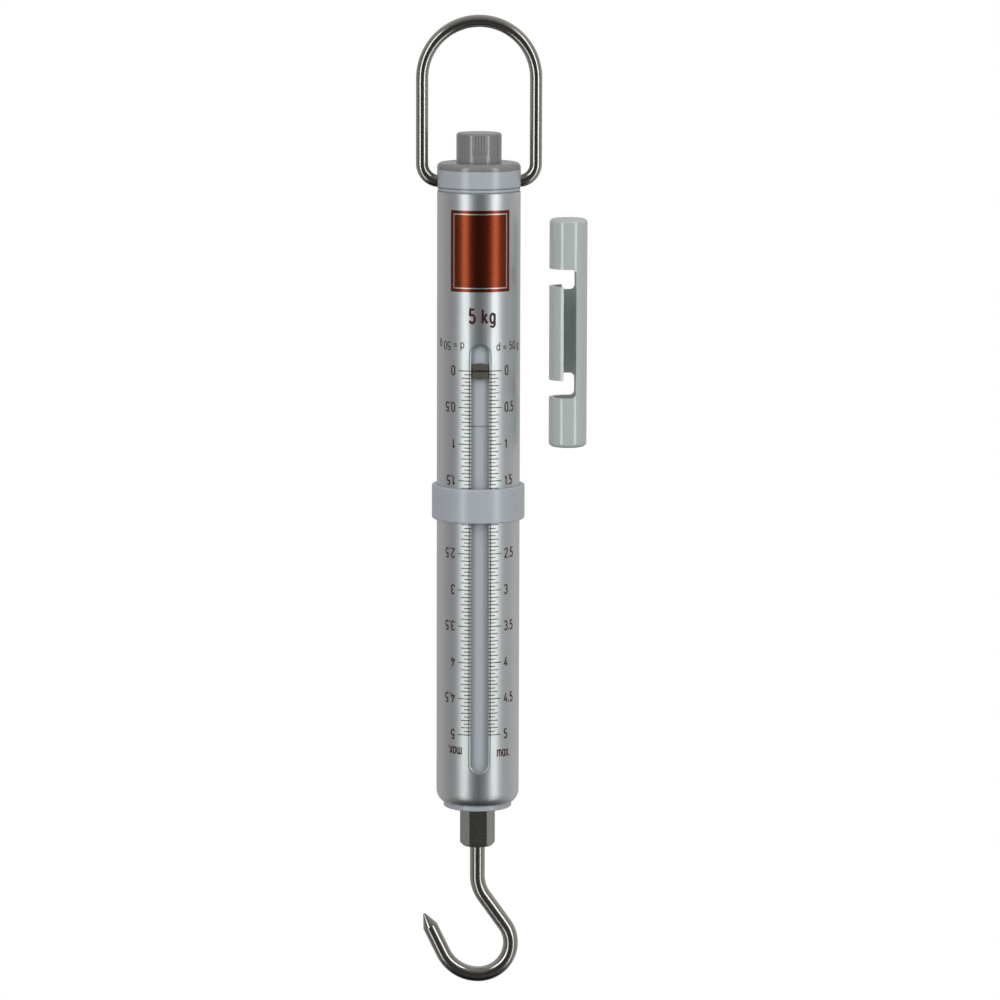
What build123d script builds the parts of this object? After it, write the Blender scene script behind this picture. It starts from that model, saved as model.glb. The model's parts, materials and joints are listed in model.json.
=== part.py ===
"""Hanging tubular spring scale, 5 kg by 50 g, with a wire bail, a tare knob, a load hook and a bail grip.

Millimetres. +Z is up and the front, with the slot and the printed scale, faces -Y.
The origin is the inside crown of the bail, where the scale hangs from its support.
"""

import os
from math import cos, pi, radians, sin, sqrt

from build123d import *

# Fits
RUNNING = 0.06              # radial clearance of a shaft that turns or slides in its bore
AXIAL_GAP = 0.05            # end play between two faces that turn on each other

# Bail: a wire arch whose two ends turn inward and pivot in the head
BAIL_WIRE = 5.0
ARCH_RADIUS = 23.1          # centreline of the arch, and half the distance between the legs
BAIL_BEND = 7.0
PIVOT_Z = -62.3
BAIL_END_X = 10.0           # the free ends of the wire inside the head
ARCH_Z = BAIL_WIRE / 2 - ARCH_RADIUS

# Tare knob
KNOB_TOP = -42.6
KNOB_RIB_BOTTOM = -51.5
KNOB_RIBS = 48
RIB_RADIUS = 0.6            # the ribs are round bars sunk into the core, flush with the collar outside
RIB_PITCH_RADIUS = 8.85
KNOB_CORE_RADIUS = 8.6
KNOB_COLLAR_RADIUS = 9.2
KNOB_RECESS_RADIUS = 7.0    # recess for the thrust washer
KNOB_RECESS_DEPTH = 0.8
KNOB_SOCKET_DEPTH = 3.0     # solid top over the spindle's end

# Head: cap, pivot ring and plug, stacked on the top of the tube
HEAD_RADIUS = 17.0
CAP_TOP = -54.6
RING_TOP = -57.4
RING_BOTTOM = -64.4
FLANGE_TOP = -64.9          # narrow grooves part the flange from the ring and from the tube
FLANGE_BOTTOM = -65.7
TUBE_TOP = -66.2
FLANGE_RADIUS = 16.8
GROOVE_RADIUS = 16.0
BOSS_RADIUS = 14.0
SPIGOT_BOTTOM = -82.0
CAP_SPIGOT_RADIUS = 8.0
CAP_SPIGOT_DEPTH = 2.0
CLIP_CHAMBER_RADIUS = 6.0
RING_BORE_CLEARANCE = 0.15  # the bail's bend starts inside the ring, so its bores are wider
NUT_SOCKET_TOP = -70.0
NUT_FLATS = 11.0            # across flats of the tare nut

# Housing tube
TUBE_RADIUS = 17.0
TUBE_WALL = 1.5
ROLL_Z = -313.6             # the tube starts to roll inward here
ROLL_RADIUS = 6.0
LIP_OUTER = 15.0            # where the rolled end turns flat
SLOT_WIDTH = 6.7
SLOT_TOP = -128.0
SLOT_BOTTOM = -303.6
SLOT_ROUNDING = 1.0         # radius of the slot's outer edges

# Graduation
ZERO_Z = -138.1             # pointer line at no load

# Slider: head, tube and end plug
SLIDER_RADIUS = 14.0
SLIDER_WALL = 1.5
SLIDER_BOTTOM = -320.7
HEAD_TOP = -118.0
HEAD_SLEEVE_RADIUS = 14.35
HEAD_BORE = 10.5
HEAD_JOINT = -161.0         # the head meets the slider tube here
JOINT_BEVEL = 0.4
HEAD_SPIGOT_BOTTOM = -171.0
HEAD_FLOOR_TOP = -141.0
HEAD_FLOOR_BOTTOM = -146.0
GUIDE_TOP = -119.0
GUIDE_BOTTOM = -124.0
END_PLUG_TOP = -308.0

# Pointer
POINTER_WIDTH = 6.4
POINTER_ABOVE = 2.3         # side edges above and below the zero line
POINTER_BELOW = 3.1
POINTER_CROWN = 0.7         # rise of the curved top and bottom edges
POINTER_FACE = 16.8         # radius of the front face, just inside the tube's surface
LINE_HEIGHT = 0.8
LINE_DEPTH = 0.5
PEG_RADIUS = 1.6
PEG_LENGTH = 3.4

# Spring
SPRING_WIRE = 1.5
SPRING_RADIUS = 9.0         # centreline of the coil
SPRING_TOP = -86.0
SPRING_TURNS = 34
SPRING_PITCH = 1.55

# Tare screw
SPINDLE_RADIUS = 3.0
SPINDLE_BOTTOM = -88.0
CLIP_GROOVE_RADIUS = 2.4
CLIP_GROOVE_HEIGHT = 0.8
CLIP_THICKNESS = 0.75
CLIP_RADIUS = 5.2
CLIP_GAP = 2.6
TARE_NUT_TOP = -74.0
TARE_NUT_BOTTOM = -82.0
ANCHOR_STEM_RADIUS = 4.6
ANCHOR_COLLAR_RADIUS = 5.2
ANCHOR_LENGTH = 6.0         # how far an anchor reaches into the coils

# Fasteners
M6_FLATS = 10.0
M6_HEIGHT = 5.0
ANCHOR_BOLT_BOTTOM = -154.0
STUD_TOP = -300.5
STUD_HEAD_RADIUS = 5.0
STUD_HEAD_HEIGHT = 6.0
STUD_WASHER_RADIUS = 7.0
STUD_WASHER_HEIGHT = 1.0

# Marker ring
MARKER_RADIUS = 19.0
MARKER_HEIGHT = 14.0
MARKER_Z = -193.4

# Hex coupling and hook
HEX_FLATS = 12.5
HEX_BOTTOM = -337.3
HEX_CHAMFER = 1.2
HEX_FLOOR = 2.5             # thickness under the hook's collar
SWIVEL_RADIUS = 4.9
SWIVEL_WASHER_HEIGHT = 1.0
COLLAR_RADIUS = 4.6
COLLAR_HEIGHT = 3.0
HOOK_WIRE = 6.2
HOOK_SHANK_TOP = -330.2
HOOK_BEND = 15.0
HOOK_LEAN = radians(35.4)   # diagonal of the hook, from vertical
BOWL_X = 0.55
BOWL_Z = -378.9
BOWL_RADIUS = 13.3
TAIL_RADIUS = 16.2
TAIL_LEAN = radians(25.8)   # straight end of the hook, from vertical
TAIL_LENGTH = 12.7
TIP_LENGTH = 5.8
TIP_RADIUS = 0.45

# Bail grip, beside the scale
GRIP_X = 36.55
GRIP_Z = -124.3
GRIP_RADIUS = 7.75
GRIP_LENGTH = 93.5
GRIP_WALL = 2.0
GRIP_CORNER = 1.8
NOTCH_NEAR = 19.15          # edges of a notch, from the middle of the grip
NOTCH_FAR = 26.4
NOTCH_DEPTH = 10.7
NOTCH_CORNER = 2.0
GRIP_SLOT_WIDTH = 5.2
GRIP_SLOT_END = 17.15       # where the front slot opens into each notch

INNER_RADIUS = TUBE_RADIUS - TUBE_WALL
SLIDER_BORE = SLIDER_RADIUS - SLIDER_WALL
SPRING_LENGTH = SPRING_TURNS * SPRING_PITCH + SPRING_WIRE
ANCHOR_RADIUS = SPRING_RADIUS - SPRING_WIRE / 2 - 0.05
RING_RADIUS = HEAD_RADIUS + 0.05
CAP_SPIGOT_BOTTOM = RING_TOP - CAP_SPIGOT_DEPTH
CLIP_TOP = CAP_SPIGOT_BOTTOM - 0.1
SWIVEL_FLOOR = HEX_BOTTOM + HEX_FLOOR
SWIVEL_WASHER_TOP = SWIVEL_FLOOR + SWIVEL_WASHER_HEIGHT
STUD_WASHER_TOP = END_PLUG_TOP + STUD_WASHER_HEIGHT
CUT = 1.0                   # how far a cutting tool runs past the face that it cuts


def disc(radius, low, high):
    """A cylinder about Z between two heights."""
    upright = (Align.CENTER, Align.CENTER, Align.MIN)
    return Pos(0, 0, low) * Cylinder(radius, high - low, align=upright)


def sleeve(outer, inner, low, high):
    """A plain ring about Z between two heights."""
    return disc(outer, low, high) - disc(inner, low - 1, high + 1)


def hexagon(flats, low, high, turn=0):
    """A hexagonal prism about Z. With no turn it has a flat at the front."""
    outline = RegularPolygon(flats / 2, 6, major_radius=False, rotation=turn)
    return Pos(0, 0, low) * extrude(outline, high - low)


def upright_slot(width, low, high, near, far):
    """A round-ended upright slot tool that reaches from y = near to y = far."""
    radius = width / 2
    depth = far - near
    middle = (near + far) / 2
    tool = Pos(0, middle, (low + high) / 2) * Box(width, depth, high - low - width)
    for z in (low + radius, high - radius):
        tool += Pos(0, middle, z) * Rot(90, 0, 0) * Cylinder(radius, depth)
    return tool


def rim(part, z, radius):
    """The circular edges of a part at one height and of about one radius."""
    edges = part.edges().filter_by(GeomType.CIRCLE)
    at_height = edges.filter_by(lambda edge: abs(edge.center().Z - z) < 0.01)
    return at_height.filter_by(lambda edge: abs(edge.radius - radius) < 0.01)


def bail():
    left = FilletPolyline(
        (-BAIL_END_X, 0, PIVOT_Z),
        (-ARCH_RADIUS, 0, PIVOT_Z),
        (-ARCH_RADIUS, 0, ARCH_Z),
        radius=BAIL_BEND,
    )
    arch = ThreePointArc(
        (-ARCH_RADIUS, 0, ARCH_Z),
        (0, 0, ARCH_Z + ARCH_RADIUS),
        (ARCH_RADIUS, 0, ARCH_Z),
    )
    right = FilletPolyline(
        (ARCH_RADIUS, 0, ARCH_Z),
        (ARCH_RADIUS, 0, PIVOT_Z),
        (BAIL_END_X, 0, PIVOT_Z),
        radius=BAIL_BEND,
    )
    start = Plane(origin=(-BAIL_END_X, 0, PIVOT_Z), z_dir=(-1, 0, 0))
    return sweep(start * Circle(BAIL_WIRE / 2), path=left + arch + right)


def tare_knob():
    """A ribbed grip over a smooth collar, hollowed below for the thrust washer."""
    bottom = CAP_TOP + AXIAL_GAP
    knob = disc(KNOB_CORE_RADIUS, KNOB_RIB_BOTTOM, KNOB_TOP)
    rib = disc(RIB_RADIUS, KNOB_RIB_BOTTOM, KNOB_TOP)
    for index in range(KNOB_RIBS):
        knob += Rot(0, 0, 360 * index / KNOB_RIBS) * Pos(RIB_PITCH_RADIUS, 0, 0) * rib
    rounded = disc(KNOB_COLLAR_RADIUS, bottom, KNOB_TOP)
    knob &= fillet(rim(rounded, KNOB_TOP, KNOB_COLLAR_RADIUS), 1.1)
    knob += disc(KNOB_COLLAR_RADIUS, bottom, KNOB_RIB_BOTTOM)
    knob -= disc(KNOB_RECESS_RADIUS, bottom - CUT, CAP_TOP + KNOB_RECESS_DEPTH)
    return knob - disc(SPINDLE_RADIUS, bottom - CUT, KNOB_TOP - KNOB_SOCKET_DEPTH)


def tare_spindle():
    """The screw that hangs from the knob, with a groove for its retaining clip."""
    screw = disc(SPINDLE_RADIUS, SPINDLE_BOTTOM, KNOB_TOP - KNOB_SOCKET_DEPTH)
    screw = chamfer(rim(screw, SPINDLE_BOTTOM, SPINDLE_RADIUS), 0.5)
    groove_bottom = CLIP_TOP - CLIP_GROOVE_HEIGHT
    return screw - sleeve(SPINDLE_RADIUS + CUT, CLIP_GROOVE_RADIUS, groove_bottom, CLIP_TOP)


def thrust_washer():
    """A thin washer in the knob's recess, which carries the load on the cap."""
    top = CAP_TOP + KNOB_RECESS_DEPTH - AXIAL_GAP
    return sleeve(KNOB_RECESS_RADIUS - 0.5, SPINDLE_RADIUS + 0.1, CAP_TOP, top)


def retaining_clip():
    """A C-clip with its gap at the back, in the spindle's groove under the cap."""
    clip = sleeve(CLIP_RADIUS, CLIP_GROOVE_RADIUS, CLIP_TOP - CLIP_THICKNESS, CLIP_TOP)
    return clip - Pos(0, CLIP_RADIUS, CLIP_TOP) * Box(CLIP_GAP, 2 * CLIP_RADIUS - CLIP_GROOVE_RADIUS, 3)


def top_cap():
    cap = disc(HEAD_RADIUS, RING_TOP, CAP_TOP)
    cap = fillet(rim(cap, CAP_TOP, HEAD_RADIUS), 2.0)
    cap += disc(CAP_SPIGOT_RADIUS, CAP_SPIGOT_BOTTOM, RING_TOP)
    return cap - disc(SPINDLE_RADIUS + RUNNING, CAP_SPIGOT_BOTTOM - CUT, CAP_TOP + CUT)


def bail_bores(inner_end, clearance):
    """Two radial bores for the ends of the bail, as one tool that stops short of the axis."""
    outer_end = RING_RADIUS + CUT
    tool = Part()
    for side in (-1, 1):
        along_x = Pos(side * (outer_end + inner_end) / 2, 0, PIVOT_Z) * Rot(0, 90, 0)
        tool += along_x * Cylinder(BAIL_WIRE / 2 + clearance, outer_end - inner_end)
    return tool


def bail_ring():
    """The light ring that the bail pivots in."""
    ring = sleeve(RING_RADIUS, BOSS_RADIUS, RING_BOTTOM, RING_TOP)
    ring = fillet(rim(ring, RING_TOP, RING_RADIUS), 0.25)
    ring = fillet(rim(ring, RING_BOTTOM, RING_RADIUS), 0.25)
    return ring - bail_bores(BOSS_RADIUS - CUT, RING_BORE_CLEARANCE)


def top_plug():
    """The core of the head: boss for the pivots, flange, spigot in the tube and hex guide for the nut."""
    plug = disc(BOSS_RADIUS, RING_BOTTOM, RING_TOP)
    plug += disc(GROOVE_RADIUS, TUBE_TOP, RING_BOTTOM)
    plug += disc(FLANGE_RADIUS, FLANGE_BOTTOM, FLANGE_TOP)
    plug += disc(INNER_RADIUS, SPIGOT_BOTTOM, TUBE_TOP)
    plug = chamfer(rim(plug, SPIGOT_BOTTOM, INNER_RADIUS), 0.6)
    plug -= disc(CAP_SPIGOT_RADIUS, CAP_SPIGOT_BOTTOM, RING_TOP + CUT)
    plug -= disc(CLIP_CHAMBER_RADIUS, NUT_SOCKET_TOP, RING_TOP)
    plug -= hexagon(NUT_FLATS + 2 * RUNNING, SPIGOT_BOTTOM - CUT, NUT_SOCKET_TOP)
    return plug - bail_bores(BAIL_END_X - 0.3, RUNNING)


def slot_rim(tube):
    """The edges where the slot meets the tube's outer surface."""
    between = tube.edges().filter_by(lambda edge: SLOT_BOTTOM <= (edge @ 0.5).Z <= SLOT_TOP)
    return between.filter_by(lambda edge: (edge @ 0.5).Y < -TUBE_RADIUS + TUBE_WALL / 2)


def housing_tube():
    """The outer tube with its slot and its rolled-in lower end, which guides the slider."""
    centre = TUBE_RADIUS - ROLL_RADIUS
    lip_bore = SLIDER_RADIUS + 0.08
    inner_roll = ROLL_RADIUS - TUBE_WALL
    lip_z = ROLL_Z - sqrt(ROLL_RADIUS**2 - (LIP_OUTER - centre)**2)
    inner_lip_z = ROLL_Z - sqrt(inner_roll**2 - (lip_bore - centre)**2)
    middle = radians(24)        # a point part of the way round both arcs
    outline = Polyline(
        (LIP_OUTER, lip_z), (lip_bore, lip_z), (lip_bore, inner_lip_z)
    )
    outline += ThreePointArc(
        (lip_bore, inner_lip_z),
        (centre + inner_roll * cos(middle), ROLL_Z - inner_roll * sin(middle)),
        (INNER_RADIUS, ROLL_Z),
    )
    outline += Polyline(
        (INNER_RADIUS, ROLL_Z),
        (INNER_RADIUS, TUBE_TOP),
        (TUBE_RADIUS - 0.25, TUBE_TOP),
        (TUBE_RADIUS, TUBE_TOP - 0.25),
        (TUBE_RADIUS, ROLL_Z),
    )
    outline += ThreePointArc(
        (TUBE_RADIUS, ROLL_Z),
        (centre + ROLL_RADIUS * cos(middle), ROLL_Z - ROLL_RADIUS * sin(middle)),
        (LIP_OUTER, lip_z),
    )
    tube = revolve(Plane.XZ * make_face(outline), axis=Axis.Z)
    tube -= upright_slot(SLOT_WIDTH, SLOT_BOTTOM, SLOT_TOP, -TUBE_RADIUS - CUT, -BOSS_RADIUS)
    return fillet(slot_rim(tube), SLOT_ROUNDING)


def tare_nut():
    """A hexagonal nut that the head keeps from turning, so the screw raises and lowers it."""
    nut = hexagon(NUT_FLATS, TARE_NUT_BOTTOM, TARE_NUT_TOP)
    return nut - disc(SPINDLE_RADIUS + RUNNING, TARE_NUT_BOTTOM - CUT, TARE_NUT_TOP + CUT)


def spring_top_anchor():
    """A plug in the top coils, hung from the nut by a hollow stem."""
    collar_top = (SPRING_TOP + TARE_NUT_BOTTOM) / 2
    anchor = disc(ANCHOR_STEM_RADIUS, collar_top, TARE_NUT_BOTTOM)
    anchor += disc(ANCHOR_COLLAR_RADIUS, SPRING_TOP, collar_top)
    anchor += disc(ANCHOR_RADIUS, SPRING_TOP - ANCHOR_LENGTH, SPRING_TOP)
    return anchor - disc(SPINDLE_RADIUS + 0.3, SPINDLE_BOTTOM - 5, TARE_NUT_BOTTOM + CUT)


def main_spring():
    """The close-wound extension spring that weighs the load."""
    coil = Helix(pitch=SPRING_PITCH, height=SPRING_LENGTH - SPRING_WIRE, radius=SPRING_RADIUS)
    section = Plane(origin=coil @ 0, z_dir=coil % 0) * Circle(SPRING_WIRE / 2)
    wound = sweep(section, path=coil, is_frenet=True)
    return Pos(0, 0, SPRING_TOP - SPRING_LENGTH + SPRING_WIRE / 2) * wound


def slider_head():
    """The sleeve behind the pointer. Its floor carries the spring and its spigot holds the slider tube."""
    head = disc(HEAD_SLEEVE_RADIUS, HEAD_JOINT, HEAD_TOP)
    head += disc(SLIDER_BORE, HEAD_SPIGOT_BOTTOM, HEAD_JOINT)
    head = chamfer(rim(head, HEAD_JOINT, HEAD_SLEEVE_RADIUS), JOINT_BEVEL)
    head -= disc(HEAD_BORE, HEAD_FLOOR_TOP, HEAD_TOP + CUT)
    head -= disc(HEAD_BORE, HEAD_SPIGOT_BOTTOM - CUT, HEAD_FLOOR_BOTTOM)
    head -= disc(SPINDLE_RADIUS, HEAD_FLOOR_BOTTOM - CUT, HEAD_FLOOR_TOP + CUT)
    return head - pointer_peg()


def guide_ring():
    """A slippery ring on the head that centres it in the housing tube."""
    outer = INNER_RADIUS - RUNNING
    ring = sleeve(outer, HEAD_SLEEVE_RADIUS, GUIDE_BOTTOM, GUIDE_TOP)
    ring = chamfer(rim(ring, GUIDE_TOP, outer), 0.3)
    return chamfer(rim(ring, GUIDE_BOTTOM, outer), 0.3)


def pointer_peg():
    """The peg on the back of the pointer, which is pressed into the slider head."""
    peg = Cylinder(PEG_RADIUS, PEG_LENGTH)
    return Pos(0, -HEAD_SLEEVE_RADIUS + PEG_LENGTH / 2 - 0.6, ZERO_Z) * Rot(90, 0, 0) * peg


def pointer_line():
    """The black hairline, inlaid in the pointer's front face."""
    low = ZERO_Z - LINE_HEIGHT / 2
    band = sleeve(POINTER_FACE, POINTER_FACE - LINE_DEPTH, low, low + LINE_HEIGHT)
    return band & (Pos(0, -POINTER_FACE, ZERO_Z) * Box(POINTER_WIDTH, POINTER_FACE, 2 * LINE_HEIGHT))


def pointer_block():
    """The block in the slot, curved like the tube, with a groove for its hairline."""
    half = POINTER_WIDTH / 2
    high = ZERO_Z + POINTER_ABOVE
    low = ZERO_Z - POINTER_BELOW
    outline = ThreePointArc((-half, high), (0, high + POINTER_CROWN), (half, high))
    outline += Line((half, high), (half, low))
    outline += ThreePointArc((half, low), (0, low - POINTER_CROWN / 2), (-half, low))
    outline += Line((-half, low), (-half, high))
    front = Plane.XZ * make_face(outline)
    block = extrude(front, HEAD_RADIUS)
    block &= sleeve(POINTER_FACE, HEAD_SLEEVE_RADIUS, ZERO_Z - POINTER_WIDTH, ZERO_Z + POINTER_WIDTH)
    return block + pointer_peg() - pointer_line()


def slider_tube():
    """The tube seen through the slot. Its rounded end stands out of the housing."""
    tube = sleeve(SLIDER_RADIUS, SLIDER_BORE, SLIDER_BOTTOM, HEAD_JOINT)
    tube = chamfer(rim(tube, HEAD_JOINT, SLIDER_RADIUS), JOINT_BEVEL)
    return fillet(rim(tube, SLIDER_BOTTOM, SLIDER_RADIUS), 0.6)


def slider_end_plug():
    """The plug that closes the slider and carries the coupling's stud."""
    plug = disc(SLIDER_BORE, SLIDER_BOTTOM, END_PLUG_TOP)
    plug = chamfer(rim(plug, SLIDER_BOTTOM, SLIDER_BORE), 0.3)
    return plug - disc(SPINDLE_RADIUS, SLIDER_BOTTOM - CUT, END_PLUG_TOP + CUT)


def spring_bottom_anchor():
    """A plug in the bottom coils, bolted through the floor of the slider head."""
    top = SPRING_TOP - SPRING_LENGTH + ANCHOR_LENGTH
    anchor = disc(ANCHOR_RADIUS, HEAD_FLOOR_TOP, top)
    anchor = chamfer(rim(anchor, top, ANCHOR_RADIUS), 0.5)
    return anchor + disc(SPINDLE_RADIUS, ANCHOR_BOLT_BOTTOM, HEAD_FLOOR_TOP)


def m6_nut(low):
    """A hexagonal nut whose lower face is at a height."""
    nut = hexagon(M6_FLATS, low, low + M6_HEIGHT)
    return nut - disc(SPINDLE_RADIUS, low - CUT, low + M6_HEIGHT + CUT)


def anchor_nut():
    """The nut under the floor of the slider head."""
    return m6_nut(HEAD_FLOOR_BOTTOM - M6_HEIGHT)


def hex_coupling():
    """A chamfered hexagon with a cavity for the head of the swivelling hook."""
    height = SLIDER_BOTTOM - HEX_BOTTOM
    chamfer_radius = HEX_FLATS / sqrt(3) - HEX_CHAMFER
    bevel = Cone(
        chamfer_radius,
        chamfer_radius + height,
        height,
        align=(Align.CENTER, Align.CENTER, Align.MIN),
    )
    body = hexagon(HEX_FLATS, HEX_BOTTOM, SLIDER_BOTTOM) & (Pos(0, 0, HEX_BOTTOM) * bevel)
    body -= disc(STUD_HEAD_RADIUS, SWIVEL_FLOOR, SLIDER_BOTTOM + CUT)
    return body - disc(HOOK_WIRE / 2 + RUNNING, HEX_BOTTOM - CUT, SWIVEL_FLOOR + CUT)


def coupling_stud():
    """A stud whose head closes the coupling and whose shank passes up through the slider's end plug."""
    stud = disc(STUD_HEAD_RADIUS, SLIDER_BOTTOM - STUD_HEAD_HEIGHT, SLIDER_BOTTOM)
    return stud + disc(SPINDLE_RADIUS, SLIDER_BOTTOM, STUD_TOP)


def stud_washer():
    """The washer under the stud's nut."""
    return sleeve(STUD_WASHER_RADIUS, SPINDLE_RADIUS, END_PLUG_TOP, STUD_WASHER_TOP)


def stud_nut():
    """The nut that holds the coupling on the slider."""
    return m6_nut(STUD_WASHER_TOP)


def swivel_washer():
    """The washer that the hook's collar turns on."""
    return sleeve(SWIVEL_RADIUS, HOOK_WIRE / 2 + 0.1, SWIVEL_FLOOR, SWIVEL_WASHER_TOP)


def hook_collar():
    """The collar on the hook's shank that carries the load on the swivel washer."""
    low = SWIVEL_WASHER_TOP + AXIAL_GAP
    return sleeve(COLLAR_RADIUS, HOOK_WIRE / 2, low, low + COLLAR_HEIGHT)


def load_hook():
    """A bent wire: shank, diagonal, round bowl and a straight end with a conical point."""
    vertex_z = BOWL_Z + (BOWL_RADIUS + BOWL_X * cos(HOOK_LEAN)) / sin(HOOK_LEAN)
    bowl_start = (BOWL_X + BOWL_RADIUS * cos(HOOK_LEAN), 0, BOWL_Z + BOWL_RADIUS * sin(HOOK_LEAN))
    bowl_right = (BOWL_X + BOWL_RADIUS * cos(pi / 6), 0, BOWL_Z - BOWL_RADIUS * sin(pi / 6))
    bowl_bottom = (BOWL_X, 0, BOWL_Z - BOWL_RADIUS)
    tail_z = BOWL_Z - BOWL_RADIUS + TAIL_RADIUS
    half_turn = (pi / 2 - TAIL_LEAN) / 2
    tail_middle = (BOWL_X - TAIL_RADIUS * sin(half_turn), 0, tail_z - TAIL_RADIUS * cos(half_turn))
    tail_start = (BOWL_X - TAIL_RADIUS * cos(TAIL_LEAN), 0, tail_z - TAIL_RADIUS * sin(TAIL_LEAN))
    aim = Vector(-sin(TAIL_LEAN), 0, cos(TAIL_LEAN))
    tip_base = Vector(*tail_start) + aim * TAIL_LENGTH
    path = FilletPolyline((0, 0, HOOK_SHANK_TOP), (0, 0, vertex_z), bowl_start, radius=HOOK_BEND)
    path += ThreePointArc(bowl_start, bowl_right, bowl_bottom)
    path += ThreePointArc(bowl_bottom, tail_middle, tail_start)
    path += Line(tail_start, tip_base)
    start = Plane(origin=(0, 0, HOOK_SHANK_TOP), z_dir=(0, 0, -1))
    hook = sweep(start * Circle(HOOK_WIRE / 2), path=path)
    tip = Cone(
        HOOK_WIRE / 2,
        TIP_RADIUS,
        TIP_LENGTH,
        align=(Align.CENTER, Align.CENTER, Align.MIN),
    )
    return hook + Plane(origin=tip_base, z_dir=aim) * tip


def marker_ring():
    """A plain ring that slides on the tube and stays where it is put."""
    low = MARKER_Z - MARKER_HEIGHT / 2
    high = MARKER_Z + MARKER_HEIGHT / 2
    ring = sleeve(MARKER_RADIUS, TUBE_RADIUS + RUNNING, low, high)
    ring = fillet(rim(ring, low, MARKER_RADIUS), 0.6)
    return fillet(rim(ring, high, MARKER_RADIUS), 0.6)


def grip_cut():
    """The grip's two notches and the front slot that joins them, as one tool about the grip's middle."""
    deep = NOTCH_DEPTH - GRIP_RADIUS
    slot_near = deep - GRIP_SLOT_WIDTH
    reach = 2 * GRIP_RADIUS + 4
    tool = Part()
    for side in (-1, 1):
        middle = side * (NOTCH_NEAR + NOTCH_FAR) / 2
        notch = Pos((deep - reach) / 2, 0, middle) * Box(deep + reach, reach, NOTCH_FAR - NOTCH_NEAR)
        elbow_height = NOTCH_FAR - GRIP_SLOT_END
        elbow_middle = side * (NOTCH_FAR + GRIP_SLOT_END) / 2
        elbow = Pos((deep + slot_near) / 2, 0, elbow_middle)
        elbow *= Box(GRIP_SLOT_WIDTH, reach, elbow_height)
        shape = notch + elbow
        deep_corners = shape.edges().filter_by(Axis.Y)
        deep_corners = deep_corners.filter_by(lambda edge: abs(edge.center().X - deep) < 0.01)
        tool += fillet(deep_corners, NOTCH_CORNER)
    front = Pos((deep + slot_near) / 2, -reach / 2, 0) * Box(GRIP_SLOT_WIDTH, reach, 2 * NOTCH_NEAR)
    return tool + front


def bail_grip():
    """A closed tube that clips on the bail: the legs enter the notches and the arch lies in the slot."""
    half = GRIP_LENGTH / 2
    body = disc(GRIP_RADIUS, -half, half)
    body = fillet(rim(body, -half, GRIP_RADIUS) + rim(body, half, GRIP_RADIUS), GRIP_CORNER)
    body -= disc(GRIP_RADIUS - GRIP_WALL, GRIP_WALL - half, half - GRIP_WALL)
    return Pos(GRIP_X, 0, GRIP_Z) * (body - grip_cut())


NODES = (
    bail,
    tare_knob,
    tare_spindle,
    thrust_washer,
    retaining_clip,
    top_cap,
    bail_ring,
    top_plug,
    housing_tube,
    tare_nut,
    spring_top_anchor,
    main_spring,
    slider_head,
    guide_ring,
    pointer_block,
    pointer_line,
    slider_tube,
    slider_end_plug,
    spring_bottom_anchor,
    anchor_nut,
    hex_coupling,
    coupling_stud,
    stud_washer,
    stud_nut,
    swivel_washer,
    load_hook,
    hook_collar,
    marker_ring,
    bail_grip,
)

os.makedirs("parts", exist_ok=True)
for make in NODES:
    export_step(make(), "parts/" + make.__name__ + ".step")
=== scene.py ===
"""The looks of a hanging tubular spring scale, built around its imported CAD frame. Metres, +Z up."""

import json
import math

import bmesh
import bpy
from mathutils import Euler, Matrix, Vector


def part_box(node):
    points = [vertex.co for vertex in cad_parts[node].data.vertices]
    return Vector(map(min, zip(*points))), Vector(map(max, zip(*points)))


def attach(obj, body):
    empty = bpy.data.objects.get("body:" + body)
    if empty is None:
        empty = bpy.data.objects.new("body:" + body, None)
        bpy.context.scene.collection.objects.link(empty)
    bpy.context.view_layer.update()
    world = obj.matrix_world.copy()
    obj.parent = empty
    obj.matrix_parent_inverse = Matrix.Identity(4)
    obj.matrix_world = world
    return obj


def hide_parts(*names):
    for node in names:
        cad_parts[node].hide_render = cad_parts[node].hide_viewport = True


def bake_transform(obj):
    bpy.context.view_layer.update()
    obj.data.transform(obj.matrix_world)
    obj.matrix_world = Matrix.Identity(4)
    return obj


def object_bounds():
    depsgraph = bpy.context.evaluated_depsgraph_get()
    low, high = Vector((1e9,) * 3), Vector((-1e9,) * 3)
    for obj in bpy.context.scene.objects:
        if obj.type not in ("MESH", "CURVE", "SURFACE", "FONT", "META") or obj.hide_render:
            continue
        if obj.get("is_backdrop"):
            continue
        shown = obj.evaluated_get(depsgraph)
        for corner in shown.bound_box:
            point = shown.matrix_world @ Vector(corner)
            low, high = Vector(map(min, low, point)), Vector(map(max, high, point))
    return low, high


MM = 0.001

# Camera
CAMERA_DISTANCE = 2.05
CAMERA_ELEVATION = math.radians(8.3)
CAMERA_AZIMUTH = math.radians(-2.8)
CAMERA_ROLL = math.radians(0.17)
CAMERA_LENS = 180.07
AIM_RIGHT = 8.93 * MM        # the picture's centre lies this far right of the scale's axis
AIM_Z = -193.2 * MM

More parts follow.
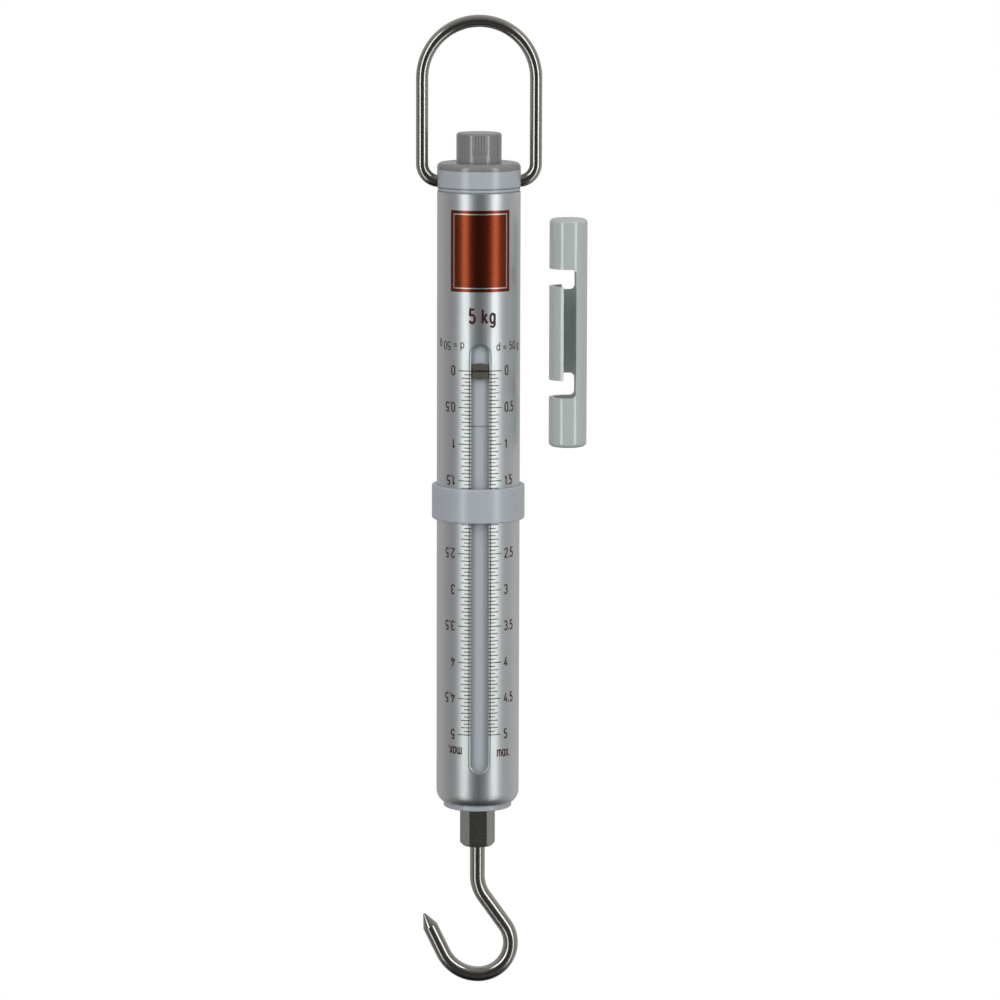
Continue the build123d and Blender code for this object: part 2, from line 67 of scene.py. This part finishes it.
# Printed scale: 0 to 5 kg over 100 divisions
DIVISION = 1.5 * MM
DIVISIONS = 100
PER_FIGURE = 10              # divisions from one figure to the next
TICK_HEIGHT = 0.36 * MM
TICK_END_HEIGHT_WITH_SHADE = 0.46 * MM  # a mark's end is taller where it runs over the slot's rounded edge: the extra height is painted shade there
SHORT_TICK = 22.0            # degrees from the middle of the slot
MEDIUM_TICK = 26.5
LONG_TICK = 31.0
FIGURE_START = 36.2
FIGURE_HEIGHT = 3.7 * MM
INK_OUT = 0.03 * MM          # the ink's outer face, above the tube's surface
INK_IN = 0.03 * MM           # and how far the ink reaches below it
WRAP_STEP = 0.6 * MM         # widest flat facet of a wrapped mesh
CUT_SNAP = 1e-7              # a cut passes through a vertex this near to it
WELD_DISTANCE = 1e-6         # vertices nearer to each other than this become one
SLOT_HALF = 3.35 * MM        # half the slot's width
SLOT_ROUNDING = 1.0 * MM     # radius of the slot's outer edges
ROUNDED_INK = 1.0 * MM       # how far a mark runs round that edge

# Words and label: starts and widths in degrees from the middle of the slot
DIVISION_TEXT_HEIGHT = 3.2 * MM
DIVISION_TEXT_START = 22.4
DIVISION_TEXT_Z = -129.8 * MM
MAXIMUM_TEXT_HEIGHT = 4.1 * MM
MAXIMUM_TEXT_START = 25.2
MAXIMUM_TEXT_Z = -297.4 * MM
CAPACITY_HEIGHT = 5.6 * MM
CAPACITY_MIDDLE = 2.6
CAPACITY_Z = -118.6 * MM
LABEL_HALF = 44
LABEL_LOW = -106 * MM
LABEL_HIGH = -73 * MM
KEYLINE_INSET = 1.3 * MM
KEYLINE_WIDTH = 0.45 * MM

# Studio
SOFTBOX_DISTANCE = 1.5
SOFTBOX_WIDTH = 0.36
SOFTBOX_TOP = 1.15
SOFTBOX_MIDDLE = -0.47       # the strip is dimmer below this height
SOFTBOX_BOTTOM = -1.55
SOFTBOX_UPPER = 3.15         # radiance
SOFTBOX_LOWER = 1.8
SOFTBOX_COLOUR = (0.94, 1.0, 1.0)
FILL_SIZE = 3.0
FLOOR_REACH = 0.3            # from the axis to each side, small enough to leave the view from below free
FLOOR_DROP = 0.35            # how far the floor lies below the hook

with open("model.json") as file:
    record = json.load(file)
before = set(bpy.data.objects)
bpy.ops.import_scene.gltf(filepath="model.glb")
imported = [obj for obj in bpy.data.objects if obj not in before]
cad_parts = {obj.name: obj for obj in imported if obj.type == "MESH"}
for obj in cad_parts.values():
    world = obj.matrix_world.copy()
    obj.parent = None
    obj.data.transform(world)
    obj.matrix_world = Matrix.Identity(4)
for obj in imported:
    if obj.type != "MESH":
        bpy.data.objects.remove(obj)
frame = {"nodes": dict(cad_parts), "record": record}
nodes = frame["nodes"]
size = {"cad": [list(corner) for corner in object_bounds()]}

tube_low, tube_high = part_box("housing_tube")
TUBE_RADIUS = tube_high.x
line_low, line_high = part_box("pointer_line")
ZERO_Z = (line_low.z + line_high.z) / 2
EDGE_ANGLE = math.asin((SLOT_HALF + SLOT_ROUNDING) / (TUBE_RADIUS - SLOT_ROUNDING))
EDGE_ARC = TUBE_RADIUS * EDGE_ANGLE


# Node helpers


def new_material(name):
    """A new material, its node tree and its Principled shader."""
    material = bpy.data.materials.new(name)
    material.use_nodes = True
    return material, material.node_tree, material.node_tree.nodes["Principled BSDF"]


def add(tree, kind, inputs=None, **settings):
    """Adds a node, sets its properties and its inputs, and links the inputs that are sockets."""
    node = tree.nodes.new(kind)
    for key, value in settings.items():
        setattr(node, key, value)
    for key, value in (inputs or {}).items():
        if isinstance(value, bpy.types.NodeSocket):
            tree.links.new(value, node.inputs[key])
        else:
            node.inputs[key].default_value = value
    return node


def place(tree, scale):
    """The row frame's coordinates in metres, scaled along X, Y and Z."""
    where = add(tree, "ShaderNodeTexCoord")
    return add(
        tree, "ShaderNodeMapping", {"Vector": where.outputs["Object"], "Scale": scale}
    ).outputs["Vector"]


def noise(tree, scale, detail):
    """Noise from 0 to 1 with a number of cycles per metre along each axis."""
    return add(
        tree,
        "ShaderNodeTexNoise",
        {"Vector": place(tree, scale), "Scale": 1.0, "Detail": detail, "Roughness": 0.5},
    ).outputs["Fac"]


def spread(tree, value, low, high):
    """Maps the middle of a noise's range to between two numbers."""
    return add(
        tree,
        "ShaderNodeMapRange",
        {"Value": value, "From Min": 0.3, "From Max": 0.7, "To Min": low, "To Max": high},
    ).outputs["Result"]


def blend_colours(tree, value, first, second):
    """Mixes two colours by a value."""
    return add(
        tree,
        "ShaderNodeMix",
        {0: value, 6: (*first, 1), 7: (*second, 1)},
        data_type="RGBA",
    ).outputs[2]


def bump(tree, shader, height, depth):
    """Bump of a depth in metres from a height of 0 to 1."""
    node = add(tree, "ShaderNodeBump", {"Height": height, "Distance": depth, "Strength": 1.0})
    tree.links.new(node.outputs["Normal"], shader.inputs["Normal"])


def link(tree, value, shader, name):
    """Feeds a shader's input from a node's output."""
    tree.links.new(value, shader.inputs[name])


# Materials


def anodised_aluminium():
    """Satin anodised tube: fine drawing lines along Z, faint clouding."""
    material, tree, shader = new_material("anodised_aluminium")
    lines = noise(tree, (9000, 9000, 60), detail=3)
    clouds = noise(tree, (60, 60, 25), detail=3)
    colour = blend_colours(tree, clouds, (0.70, 0.72, 0.73), (0.76, 0.765, 0.77))
    link(tree, colour, shader, "Base Color")
    shader.inputs["Metallic"].default_value = 1.0
    link(tree, spread(tree, lines, 0.36, 0.44), shader, "Roughness")
    bump(tree, shader, lines, 0.002 * MM)
    return material


def polished_steel():
    """Drawn stainless wire with a polish, a little warm, with fine scuffs."""
    material, tree, shader = new_material("polished_steel")
    scuffs = noise(tree, (900, 900, 900), detail=3)
    patches = noise(tree, (120, 120, 120), detail=2)
    colour = blend_colours(tree, patches, (0.475, 0.445, 0.41), (0.525, 0.50, 0.465))
    link(tree, colour, shader, "Base Color")
    shader.inputs["Metallic"].default_value = 1.0
    link(tree, spread(tree, scuffs, 0.17, 0.20), shader, "Roughness")
    return material


def machined_steel(name, dark, light, rough):
    """Turned or milled steel with fine tool marks."""
    material, tree, shader = new_material(name)
    marks = noise(tree, (700, 700, 4000), detail=3)
    patches = noise(tree, (220, 220, 220), detail=3)
    link(tree, blend_colours(tree, patches, dark, light), shader, "Base Color")
    shader.inputs["Metallic"].default_value = 1.0
    link(tree, spread(tree, marks, rough - 0.06, rough + 0.06), shader, "Roughness")
    bump(tree, shader, marks, 0.002 * MM)
    return material


def moulded_plastic(name, dark, light, rough, specular=0.5):
    """Moulded plastic with the slight texture of its tool and faint mottling."""
    material, tree, shader = new_material(name)
    grain = noise(tree, (3500, 3500, 3500), detail=2)
    mottle = noise(tree, (140, 140, 90), detail=4)
    link(tree, blend_colours(tree, mottle, dark, light), shader, "Base Color")
    shader.inputs["Specular IOR Level"].default_value = specular
    link(tree, spread(tree, grain, rough - 0.05, rough + 0.05), shader, "Roughness")
    bump(tree, shader, grain, 0.004 * MM)
    return material


def ink(name, dark, light, rough, metallic=0.0):
    """Screen-printed ink with slightly uneven cover."""
    material, tree, shader = new_material(name)
    cover = noise(tree, (1800, 1800, 1800), detail=3)
    link(tree, blend_colours(tree, cover, dark, light), shader, "Base Color")
    shader.inputs["Metallic"].default_value = metallic
    link(tree, spread(tree, cover, rough - 0.04, rough + 0.04), shader, "Roughness")
    return material


MATERIALS = {
    "anodised_aluminium": anodised_aluminium(),
    "polished_steel": polished_steel(),
    "dark_steel": machined_steel("dark_steel", (0.38, 0.365, 0.34), (0.44, 0.42, 0.39), 0.30),
    "zinc_steel": machined_steel("zinc_steel", (0.50, 0.51, 0.52), (0.60, 0.61, 0.62), 0.34),
    "spring_steel": machined_steel("spring_steel", (0.34, 0.34, 0.35), (0.44, 0.44, 0.45), 0.28),
    "brass": machined_steel("brass", (0.62, 0.45, 0.20), (0.70, 0.53, 0.26), 0.30),
    "dark_grey_plastic": moulded_plastic(
        "dark_grey_plastic", (0.242, 0.238, 0.234), (0.254, 0.250, 0.246), 0.20, 1.0
    ),
    "light_grey_plastic": moulded_plastic(
        "light_grey_plastic", (0.465, 0.488, 0.532), (0.485, 0.508, 0.552), 0.27, 0.9
    ),
    "grip_plastic": moulded_plastic("grip_plastic", (0.52, 0.56, 0.545), (0.54, 0.58, 0.565), 0.14, 1.0),
    "pointer_plastic": moulded_plastic(
        "pointer_plastic", (0.085, 0.08, 0.06), (0.095, 0.09, 0.07), 0.45
    ),
    "pointer_ink": ink("pointer_ink", (0.010, 0.008, 0.006), (0.02, 0.015, 0.012), 0.5),
}
SCALE_INK = ink("scale_ink", (0.035, 0.014, 0.011), (0.055, 0.022, 0.017), 0.5)
TITLE_INK = ink("title_ink", (0.035, 0.004, 0.004), (0.055, 0.008, 0.006), 0.45)
COPPER_INK = ink("copper_ink", (0.25, 0.048, 0.020), (0.28, 0.054, 0.023), 0.30, metallic=1.0)


def dress_nodes():
    """Gives each CAD node the material of its slot in the record."""
    for part in frame["record"]["subparts"]:
        mesh = nodes[part["node"]].data
        mesh.materials.clear()
        mesh.materials.append(MATERIALS[part["material_slot"]])


# Printed scale


def finish_piece(name, shape, material, body):
    """Makes a piece of a bmesh, with its material and slot, and lets it ride on a body if one is named."""
    bmesh.ops.recalc_face_normals(shape, faces=shape.faces)
    mesh = bpy.data.meshes.new(name)
    shape.to_mesh(mesh)
    shape.free()
    mesh.materials.append(material)
    piece = bpy.data.objects.new(name, mesh)
    bpy.context.scene.collection.objects.link(piece)
    if body:
        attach(piece, body)
    return piece


def add_box(shape, left, right, low, high):
    """A flat box of ink, in metres along the tube's surface."""
    matrix = Matrix.Translation(((left + right) / 2, (low + high) / 2, 0))
    matrix @= Matrix.Diagonal((right - left, high - low, 1, 1))
    bmesh.ops.create_cube(shape, size=1, matrix=matrix)


def wrap(shape):
    """Bends a flat shape round the front of the tube: x runs round it, y up it, z outward."""
    xs = [vertex.co.x for vertex in shape.verts]
    steps = math.ceil((max(xs) - min(xs)) / WRAP_STEP)
    for index in range(1, steps):
        cut = min(xs) + (max(xs) - min(xs)) * index / steps
        everything = shape.verts[:] + shape.edges[:] + shape.faces[:]
        bmesh.ops.bisect_plane(
            shape, geom=everything, plane_co=(cut, 0, 0), plane_no=(1, 0, 0), dist=CUT_SNAP
        )
    for vertex in shape.verts:
        angle = vertex.co.x / TUBE_RADIUS
        radius = TUBE_RADIUS + (INK_OUT if vertex.co.z > 0 else -INK_IN)
        z = vertex.co.y
        vertex.co = (radius * math.sin(angle), -radius * math.cos(angle), z)


def arc(degrees):
    """The length along the tube's surface of an angle about its axis."""
    return TUBE_RADIUS * math.radians(degrees)


def divisions():
    """The marks on both sides of the slot: short, medium each 100 g, long each 500 g."""
    shape = bmesh.new()
    for index in range(DIVISIONS + 1):
        end = SHORT_TICK
        if index % 2 == 0:
            end = MEDIUM_TICK
        if index % PER_FIGURE == 0:
            end = LONG_TICK
        low = ZERO_Z - index * DIVISION - TICK_HEIGHT / 2
        add_box(shape, EDGE_ARC, arc(end), low, low + TICK_HEIGHT)
        add_box(shape, -arc(end), -EDGE_ARC, low, low + TICK_HEIGHT)
    wrap(shape)
    finish_piece("scale_divisions", shape, SCALE_INK, "housing")


def division_ends_and_edge_shade():
    """The ends of the marks, which run over the rounded edges of the slot. They are printed marks drawn
    taller than the rest, and the extra height is painted shade at the slot's edges.
    """
    shape = bmesh.new()
    steps = 6
    for index in range(DIVISIONS + 1):
        low = ZERO_Z - index * DIVISION - TICK_END_HEIGHT_WITH_SHADE / 2
        for step in range(steps):
            start = ROUNDED_INK * step / steps
            end = ROUNDED_INK * (step + 1) / steps
            add_box(shape, start, end, low, low + TICK_END_HEIGHT_WITH_SHADE)
    bmesh.ops.remove_doubles(shape, verts=shape.verts, dist=WELD_DISTANCE)
    centre = TUBE_RADIUS - SLOT_ROUNDING
    for vertex in shape.verts:
        angle = EDGE_ANGLE - vertex.co.x / SLOT_ROUNDING
        reach = SLOT_ROUNDING + (INK_OUT if vertex.co.z > 0 else -INK_IN)
        across = centre * math.sin(EDGE_ANGLE) + reach * math.sin(angle)
        out = centre * math.cos(EDGE_ANGLE) + reach * math.cos(angle)
        vertex.co = (across, -out, vertex.co.y)
    copy = bmesh.ops.duplicate(shape, geom=shape.verts[:] + shape.edges[:] + shape.faces[:])
    for part in copy["geom"]:
        if isinstance(part, bmesh.types.BMVert):
            part.co.x = -part.co.x
    finish_piece("division_ends_and_edge_shade", shape, SCALE_INK, "housing")


def bow(x, y, across, up, start, end):
    """Points along part of an ellipse, between two angles in degrees from its right side."""
    steps = 10
    angles = [math.radians(start + (end - start) * step / steps) for step in range(steps + 1)]
    return [(x + across * math.cos(angle), y + up * math.sin(angle)) for angle in angles]


def stem(x, low, high):
    """An upright stroke."""
    return [(x, low), (x, high)]


# Plain narrow letters, drawn as strokes on a line of unit height: each is its width and its strokes
BOWL = bow(0.21, 0.35, 0.21, 0.35, 0, 360)
GLYPHS = {
    "0": (
        0.48,
        [bow(0.24, 0.70, 0.24, 0.30, 0, 180) + bow(0.24, 0.30, 0.24, 0.30, 180, 360) + [(0.48, 0.70)]],
    ),
    "1": (0.26, [[(0.02, 0.74), (0.22, 0.96)], stem(0.22, 0, 1)]),
    "2": (0.48, [bow(0.24, 0.75, 0.23, 0.25, 170, -30) + [(0.03, 0.03)], [(0, 0), (0.48, 0)]]),
    "3": (0.48, [bow(0.23, 0.76, 0.22, 0.24, 160, -90), bow(0.23, 0.27, 0.25, 0.27, 90, -160)]),
    "4": (0.52, [[(0.34, 1), (0, 0.25), (0.52, 0.25)], stem(0.38, 0, 0.55)]),
    "5": (0.48, [[(0.44, 1), (0.07, 1), (0.04, 0.55)], bow(0.23, 0.31, 0.25, 0.31, 140, -155)]),
    ".": (0.06, [stem(0.03, -0.06, 0.09)]),
    "=": (0.48, [[(0, 0.22), (0.48, 0.22)], [(0, 0.48), (0.48, 0.48)]]),
    "k": (0.42, [stem(0, 0, 1), [(0.38, 0.68), (0, 0.26)], [(0.13, 0.40), (0.42, 0)]]),
    "g": (0.42, [BOWL, stem(0.42, 0.70, -0.06) + bow(0.21, -0.06, 0.21, 0.20, 0, -150)]),
    "d": (0.42, [BOWL, stem(0.42, 0, 1)]),
    "a": (0.42, [BOWL, stem(0.42, 0, 0.70)]),
    "m": (
        0.64,
        [stem(0, 0, 0.70)] + [bow(x, 0.45, 0.16, 0.25, 180, 0) + [(x + 0.16, 0)] for x in (0.16, 0.48)],
    ),
    "x": (0.40, [[(0, 0), (0.40, 0.70)], [(0, 0.70), (0.40, 0)]]),
    " ": (0.16, []),
}


def ribbon(shape, points, width):
    """A flat stroke of one width along a line of points."""
    points = [Vector(point) for point in points]
    rows = []
    for index, point in enumerate(points):
        back = (point - points[max(index - 1, 0)]).normalized()
        ahead = (points[min(index + 1, len(points) - 1)] - point).normalized()
        along = (back + ahead).normalized()
        reach = width / 2 / max(along.dot(ahead), along.dot(back))
        side = Vector((-along.y, along.x)) * reach
        corners = (point + side, point - side)
        rows.append([shape.verts.new((*corner, z)) for z in (0.5, -0.5) for corner in corners])
    for first, second in zip(rows, rows[1:]):
        for one, other in ((0, 1), (1, 3), (3, 2), (2, 0)):
            shape.faces.new((first[one], first[other], second[other], second[one]))
    for row in (rows[0], rows[-1]):
        shape.faces.new((row[0], row[1], row[3], row[2]))


def letters(text, height, squeeze=1.0, stroke=0.12, gap=0.26):
    """Flat letters as a bmesh, from the left end of their base line."""
    shape = bmesh.new()
    pen = stroke / 2
    for letter in text:
        width, strokes = GLYPHS[letter]
        for points in strokes:
            moved = [((pen + x) * height * squeeze, y * height) for x, y in points]
            ribbon(shape, moved, stroke * height)
        pen += width + gap
    return shape


def width_of(shape):
    """How far a word's letters reach to the right of its start."""
    return max(vertex.co.x for vertex in shape.verts)


def stamp(target, word, x, y, upside_down=False, height=0.0):
    """Copies letters into a shape with their corner at x, y, or turned half round about their middle."""
    width = width_of(word)
    for vertex in word.verts:
        if upside_down:
            vertex.co.x = width - vertex.co.x
            vertex.co.y = height - vertex.co.y
        vertex.co.x += x
        vertex.co.y += y
    mesh = bpy.data.meshes.new("stamp")
    word.to_mesh(mesh)
    word.free()
    target.from_mesh(mesh)
    bpy.data.meshes.remove(mesh)


def print_both_sides(target, text, height, start, y, **style):
    """Prints a word at the right of the slot, and again at the left turned half round."""
    word = letters(text, height, **style)
    stamp(target, word, start, y)
    word = letters(text, height, **style)
    stamp(target, word, -start - width_of(word), y, upside_down=True, height=height)


def figures():
    """0 to 5 by 0.5 kg beside the long marks."""
    shape = bmesh.new()
    for index in range(DIVISIONS // PER_FIGURE + 1):
        y = ZERO_Z - index * PER_FIGURE * DIVISION - FIGURE_HEIGHT / 2
        word = f"{index / 2:g}"
        style = {"squeeze": 0.86, "stroke": 0.15, "gap": 0.24}
        print_both_sides(shape, word, FIGURE_HEIGHT, arc(FIGURE_START), y, **style)
    wrap(shape)
    finish_piece("scale_figures", shape, SCALE_INK, "housing")


def division_text():
    """What one division stands for, beside the slot's upper end."""
    shape = bmesh.new()
    start = arc(DIVISION_TEXT_START)
    print_both_sides(shape, "d = 50 g", DIVISION_TEXT_HEIGHT, start, DIVISION_TEXT_Z, gap=0.2)
    wrap(shape)
    finish_piece("division_text", shape, SCALE_INK, "housing")


def maximum_text():
    """The word for maximum, beside the slot's lower end."""
    shape = bmesh.new()
    style = {"squeeze": 0.72, "gap": 0.2}
    start = arc(MAXIMUM_TEXT_START)
    print_both_sides(shape, "max.", MAXIMUM_TEXT_HEIGHT, start, MAXIMUM_TEXT_Z, **style)
    wrap(shape)
    finish_piece("maximum_text", shape, TITLE_INK, "housing")


def capacity_text():
    """The capacity, above the slot and a little to its right."""
    word = letters("5 kg", CAPACITY_HEIGHT, squeeze=0.80, stroke=0.17, gap=0.28)
    shape = bmesh.new()
    stamp(shape, word, arc(CAPACITY_MIDDLE) - width_of(word) / 2, CAPACITY_Z)
    wrap(shape)
    finish_piece("capacity_text", shape, TITLE_INK, "housing")


def label_panel():
    """A plain copper-brown panel with a bare keyline, with no lettering or device."""
    half = arc(LABEL_HALF)
    low = LABEL_LOW + KEYLINE_INSET
    high = LABEL_HIGH - KEYLINE_INSET
    shape = bmesh.new()
    add_box(shape, -half, half, LABEL_LOW, low)
    add_box(shape, -half, half, high, LABEL_HIGH)
    add_box(shape, -half, -half + KEYLINE_INSET, low, high)
    add_box(shape, half - KEYLINE_INSET, half, low, high)
    inner = half - KEYLINE_INSET - KEYLINE_WIDTH
    add_box(shape, -inner, inner, low + KEYLINE_WIDTH, high - KEYLINE_WIDTH)
    wrap(shape)
    finish_piece("label_panel", shape, COPPER_INK, "housing")


# Spring


def spring():
    """The coil as wire. Its end turns sit on the anchors."""
    low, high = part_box("main_spring")
    wire_radius = 0.75 * MM
    coil_radius = high.x - wire_radius
    turns = 34
    dead_turns = 4
    per_turn = 36
    sides = 10
    top = high.z - wire_radius
    drop = (high.z - low.z - 2 * wire_radius) / turns
    shape = bmesh.new()
    rings = []
    weights = []
    for step in range(turns * per_turn + 1):
        turn = step / per_turn
        angle = 2 * math.pi * turn
        out = Vector((math.cos(angle), math.sin(angle), 0))
        centre = out * coil_radius + Vector((0, 0, top - drop * turn))
        ring = []
        for side in range(sides):
            around = 2 * math.pi * side / sides
            offset = out * math.cos(around) + Vector((0, 0, math.sin(around)))
            ring.append(shape.verts.new(centre + offset * wire_radius))
        rings.append(ring)
        share = (turn - dead_turns) / (turns - 2 * dead_turns)
        weights += [min(max(share, 0), 1)] * sides
    for first, second in zip(rings, rings[1:]):
        for side in range(sides):
            after = (side + 1) % sides
            shape.faces.new((first[side], first[after], second[after], second[side]))
    shape.faces.new(rings[0])
    shape.faces.new(rings[-1])
    for face in shape.faces:
        face.smooth = True
    piece = finish_piece("spring_coil", shape, MATERIALS["spring_steel"], None)
    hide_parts("main_spring")
    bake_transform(piece)


# Studio


def camera():
    """The camera in front of the scale, a little above it and to its left."""
    right = Vector((math.cos(CAMERA_AZIMUTH), math.sin(CAMERA_AZIMUTH), 0))
    back = Vector((
        math.sin(CAMERA_AZIMUTH) * math.cos(CAMERA_ELEVATION),
        -math.cos(CAMERA_AZIMUTH) * math.cos(CAMERA_ELEVATION),
        math.sin(CAMERA_ELEVATION),
    ))
    data = bpy.data.cameras.new("camera")
    data.lens = CAMERA_LENS
    data.clip_start = 0.05
    data.clip_end = 100
    view = bpy.data.objects.new("camera", data)
    bpy.context.scene.collection.objects.link(view)
    aim = right * AIM_RIGHT + Vector((0, 0, AIM_Z))
    view.location = aim + back * CAMERA_DISTANCE
    turn = back.to_track_quat("Z", "Y")
    view.rotation_euler = (turn @ Euler((0, 0, CAMERA_ROLL)).to_quaternion()).to_euler()
    bpy.context.scene.camera = view


def area_light(name, azimuth, distance, width, height, z, aim_z, radiance):
    """A rectangular light at an azimuth from the front, facing a point on the scale's axis."""
    data = bpy.data.lights.new(name, "AREA")
    data.shape = "RECTANGLE"
    data.size = width
    data.size_y = height
    data.energy = radiance * math.pi * width * height
    light = bpy.data.objects.new(name, data)
    bpy.context.scene.collection.objects.link(light)
    angle = math.radians(azimuth)
    place_at = Vector((math.sin(angle), -math.cos(angle), 0)) * distance
    light.location = place_at + Vector((0, 0, z))
    aim = Vector((0, 0, aim_z)) - light.location
    light.rotation_euler = aim.to_track_quat("-Z", "Y").to_euler()
    light.visible_camera = False
    return light


def softbox(name, azimuth):
    """A tall strip of slightly cool light, dimmer in its lower part."""
    for part, low, high, radiance in (
        ("upper", SOFTBOX_MIDDLE, SOFTBOX_TOP, SOFTBOX_UPPER),
        ("lower", SOFTBOX_BOTTOM, SOFTBOX_MIDDLE, SOFTBOX_LOWER),
    ):
        z = (low + high) / 2
        light = area_light(
            f"{name}_{part}", azimuth, SOFTBOX_DISTANCE, SOFTBOX_WIDTH, high - low, z, z, radiance
        )
        light.data.color = SOFTBOX_COLOUR


def fill(name, distance, z, radiance):
    """A broad soft light at the front that shows in no reflection."""
    light = area_light(name, 0, distance, FILL_SIZE, FILL_SIZE, z, AIM_Z, radiance)
    light.visible_glossy = False


def surroundings():
    """A world dark at the front and below and grey at the back, which the camera sees as white."""
    world = bpy.data.worlds.new("studio")
    world.use_nodes = True
    tree = world.node_tree
    tree.nodes.clear()
    where = add(tree, "ShaderNodeTexCoord")
    parts = add(tree, "ShaderNodeSeparateXYZ", {"Vector": where.outputs["Generated"]})
    depth = add(
        tree,
        "ShaderNodeMapRange",
        {"Value": parts.outputs["Y"], "From Min": -1, "From Max": 0.5, "To Min": 0.05, "To Max": 0.60},
    )
    side = add(tree, "ShaderNodeMath", {0: parts.outputs["X"], 1: 0.07}, operation="MULTIPLY")
    level = add(tree, "ShaderNodeMath", {0: depth.outputs[0], 1: side.outputs[0]})
    above = add(
        tree,
        "ShaderNodeMapRange",
        {"Value": parts.outputs["Z"], "From Min": 0.3, "From Max": 0.7, "To Min": 0, "To Max": 0.1},
    )
    level = add(tree, "ShaderNodeMath", {0: level.outputs[0], 1: above.outputs[0]})
    below = add(
        tree,
        "ShaderNodeMapRange",
        {"Value": parts.outputs["Z"], "From Min": -0.9, "From Max": -0.5, "To Min": 0.06, "To Max": 1},
    )
    level = add(
        tree, "ShaderNodeMath", {0: level.outputs[0], 1: below.outputs[0]}, operation="MULTIPLY"
    )
    grey = add(tree, "ShaderNodeBackground", {"Strength": level.outputs[0]})
    white = add(tree, "ShaderNodeBackground", {"Color": (1, 1, 1, 1), "Strength": 1.0})
    path = add(tree, "ShaderNodeLightPath")
    mix = add(
        tree,
        "ShaderNodeMixShader",
        {0: path.outputs["Is Camera Ray"], 1: grey.outputs[0], 2: white.outputs[0]},
    )
    add(tree, "ShaderNodeOutputWorld", {"Surface": mix.outputs[0]})
    bpy.context.scene.world = world


def floor():
    """A plain white floor well below the scale, which lights nothing and shows in no reflection."""
    shape = bmesh.new()
    bmesh.ops.create_grid(shape, x_segments=1, y_segments=1, size=FLOOR_REACH)
    mesh = bpy.data.meshes.new("floor")
    shape.to_mesh(mesh)
    shape.free()
    material, _, shader = new_material("floor")
    shader.inputs["Base Color"].default_value = (0, 0, 0, 1)
    shader.inputs["Specular IOR Level"].default_value = 0
    shader.inputs["Emission Color"].default_value = (1, 1, 1, 1)
    shader.inputs["Emission Strength"].default_value = 1.0
    mesh.materials.append(material)
    plane = bpy.data.objects.new("floor", mesh)
    bpy.context.scene.collection.objects.link(plane)
    plane.location.z = size["cad"][0][2] - FLOOR_DROP
    plane.visible_glossy = False
    plane.visible_diffuse = False
    plane.visible_shadow = False
    plane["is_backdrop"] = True


dress_nodes()
divisions()
division_ends_and_edge_shade()
figures()
division_text()
maximum_text()
capacity_text()
label_panel()
spring()

camera()
surroundings()
floor()
softbox("left_softbox", azimuth=-40.7)
softbox("right_softbox", azimuth=44.3)
fill("front_fill", distance=2.5, z=0.8, radiance=1.0)
fill("top_fill", distance=0.6, z=2.4, radiance=0.5)
bpy.context.scene.view_settings.view_transform = "Standard"

size["visual"] = [list(corner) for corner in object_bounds()]
